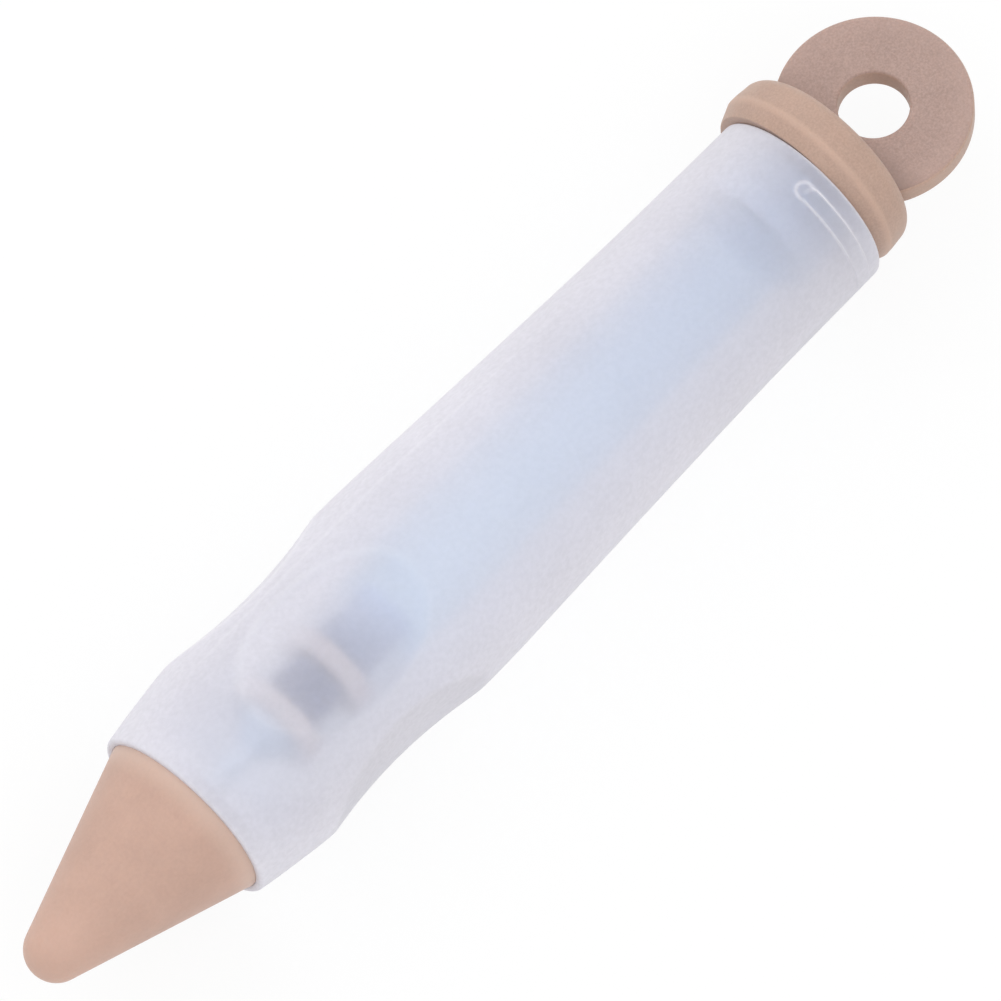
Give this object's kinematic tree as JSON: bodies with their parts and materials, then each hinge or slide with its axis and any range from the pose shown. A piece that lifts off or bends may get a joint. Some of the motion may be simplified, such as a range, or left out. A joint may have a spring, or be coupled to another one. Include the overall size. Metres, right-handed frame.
{
  "type": "icing pen",
  "caption": "Soft icing pen: a milky squeeze barrel with finger dents, a blunt cone cap over its nozzle and a pull-out end plug with a hanging ring.",
  "frame": {"origin": "on the pen's own axis, half way along its overall length", "axes": "+X along the pen from the nozzle cap to the hanging ring; +Z through the middle of one finger dent, upwards as the pen lies"},
  "size_m": [0.1693, 0.0296, 0.0296],
  "materials": {
    "milky_silicone": "translucent, satin",
    "beige_silicone": "fine matt",
    "nozzle_plastic": "moulded, smooth"
  },
  "bodies": {
    "barrel": {"squeeze_barrel": "milky_silicone"},
    "cap": {"nozzle_cap": "beige_silicone"},
    "nozzle": {"nozzle": "nozzle_plastic", "front_seal": "beige_silicone", "rear_seal": "beige_silicone"},
    "plug": {"end_plug": "beige_silicone"}
  },
  "joints": [
    {"name": "cap_pull", "type": "slide", "parent": "barrel", "child": "cap", "axis": [-1, 0, 0], "range_m": [0, 0.03]},
    {"name": "plug_pull", "type": "slide", "parent": "barrel", "child": "plug", "axis": [1, 0, 0], "range_m": [0, 0.04]},
    {"name": "nozzle_push", "type": "slide", "parent": "barrel", "child": "nozzle", "axis": [1, 0, 0], "range_m": [0, 0.05]}
  ]
}
